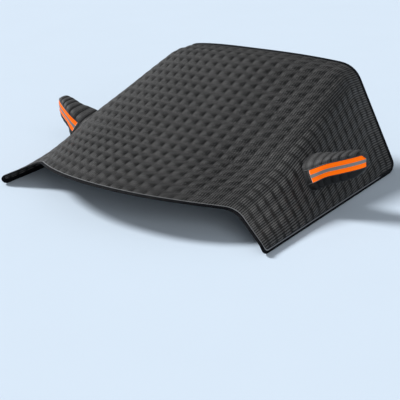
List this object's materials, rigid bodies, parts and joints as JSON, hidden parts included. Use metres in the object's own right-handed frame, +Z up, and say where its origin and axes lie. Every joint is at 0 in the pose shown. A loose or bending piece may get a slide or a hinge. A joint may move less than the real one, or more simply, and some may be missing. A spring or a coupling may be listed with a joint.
{
  "type": "windshield frost cover",
  "caption": "Quilted frost cover shaped over a car's hood, windscreen and roof edge, with bound hems, side flaps and mirror pockets that carry warning tape.",
  "frame": {"origin": "middle of the cover's bounding box, on the plane of the two side hems", "axes": "+X across the car towards its left side, +Y from the hood hem to the roof hem, +Z up"},
  "size_m": [2.2972, 1.6182, 0.6503],
  "materials": {
    "quilt": "quilted woven polyester, matte dark grey",
    "binding": "woven binding tape, black",
    "pocket": "ribbed woven polyester, matte dark grey",
    "orange_tape": "coated warning tape, bright orange",
    "silver_tape": "reflective tape, silver grey"
  },
  "bodies": {
    "root": {"quilted_cover": "quilt", "edge_binding": "binding", "mirror_pocket_left": "pocket", "mirror_pocket_right": "pocket", "orange_tape_left": "orange_tape", "orange_tape_right": "orange_tape", "silver_tape_left": "silver_tape", "silver_tape_right": "silver_tape"}
  },
  "joints": []
}
